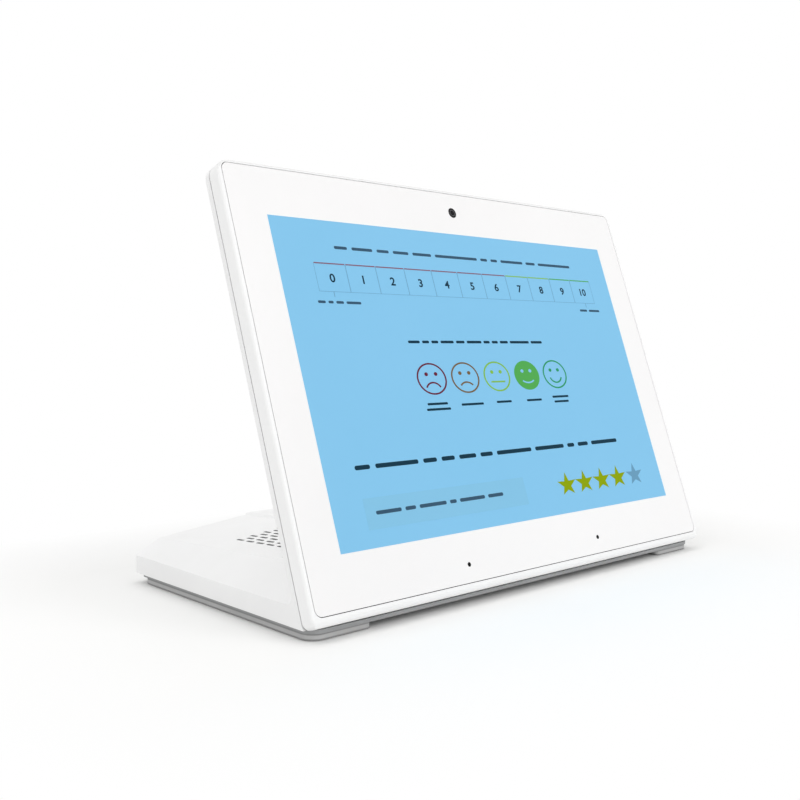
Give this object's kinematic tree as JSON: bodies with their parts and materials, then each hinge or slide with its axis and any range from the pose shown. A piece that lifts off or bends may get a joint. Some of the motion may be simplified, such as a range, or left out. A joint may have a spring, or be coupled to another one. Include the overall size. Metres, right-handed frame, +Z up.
{
  "type": "customer feedback terminal",
  "caption": "Counter-top touch-screen terminal: a leaning white display fixed to a low wedge base with speaker slots, rear sockets and small sprung buttons.",
  "frame": {"origin": "on the counter, under the middle of the terminal's bounding box", "axes": "+X to the right seen from the front, +Y towards the back with the sockets, +Z up"},
  "size_m": [0.2552, 0.1251, 0.1769],
  "materials": {
    "antenna_film": "polyimide film",
    "black_adhesive": "foam tape",
    "black_plastic": "moulded",
    "button_plastic": "satin moulded ABS",
    "cable_film": "laminated film",
    "chip_plastic": "moulded epoxy",
    "circuit_board": "solder mask",
    "clear_acrylic": "polished acrylic",
    "connector_plastic": "moulded",
    "cover_plastic": "fine-textured ABS",
    "display_cell": "polarised glass cell",
    "driver_cone": "pressed cone",
    "foot_rubber": "moulded rubber",
    "lens_glass": "coated",
    "pressed_steel": "pressed sheet",
    "screen_glass": "polished, printed white behind its border",
    "screw_steel": "zinc plated",
    "socket_metal": "nickel plated",
    "speaker_cloth": "fine woven cloth",
    "spreader_aluminium": "anodised",
    "switch_plastic": "moulded",
    "tinned_metal": "tin plated",
    "white_plastic": "satin moulded ABS"
  },
  "bodies": {
    "terminal": {"antenna_left": "antenna_film", "antenna_right": "antenna_film", "backlight_tray": "pressed_steel", "bottom_cover": "cover_plastic", "camera_lens": "lens_glass", "camera_module": "black_plastic", "cover_glass": "screen_glass", "cover_screws": "screw_steel", "device_socket": "socket_metal", "flat_cable": "cable_film", "foot_pad_left": "foot_rubber", "foot_pad_right": "foot_rubber", "front_frame": "white_plastic", "glass_tape": "black_adhesive", "headset_socket": "black_plastic", "heat_spreader": "spreader_aluminium", "host_socket_left": "socket_metal", "host_socket_right": "socket_metal", "lcd_clip_screws": "screw_steel", "lcd_clips": "pressed_steel", "lcd_panel": "display_cell", "light_guide": "clear_acrylic", "mainboard": "circuit_board", "mainboard_connector": "connector_plastic", "mainboard_screws": "screw_steel", "microphone_left": "tinned_metal", "microphone_right": "tinned_metal", "network_socket": "socket_metal", "power_inlet": "black_plastic", "power_switch": "switch_plastic", "processor": "chip_plastic", "radio_shield": "tinned_metal", "rear_shell": "white_plastic", "socket_board": "circuit_board", "socket_board_connector": "connector_plastic", "socket_board_screws": "screw_steel", "speaker_box_left": "black_plastic", "speaker_box_right": "black_plastic", "speaker_driver_left": "driver_cone", "speaker_driver_right": "driver_cone", "speaker_mesh_left": "speaker_cloth", "speaker_mesh_right": "speaker_cloth", "volume_down_switch": "switch_plastic", "volume_up_switch": "switch_plastic"},
    "power_button_body": {"power_button": "button_plastic"},
    "volume_down_button_body": {"volume_down_button": "button_plastic"},
    "volume_up_button_body": {"volume_up_button": "button_plastic"}
  },
  "joints": [
    {"name": "power_press", "type": "slide", "parent": "terminal", "child": "power_button_body", "axis": [0, -1, 0], "range_m": [0, 0.0006], "stiffness_N_per_m": 800},
    {"name": "volume_down_press", "type": "slide", "parent": "terminal", "child": "volume_down_button_body", "axis": [0, -1, 0], "range_m": [0, 0.0006], "stiffness_N_per_m": 800},
    {"name": "volume_up_press", "type": "slide", "parent": "terminal", "child": "volume_up_button_body", "axis": [0, -1, 0], "range_m": [0, 0.0006], "stiffness_N_per_m": 800}
  ]
}
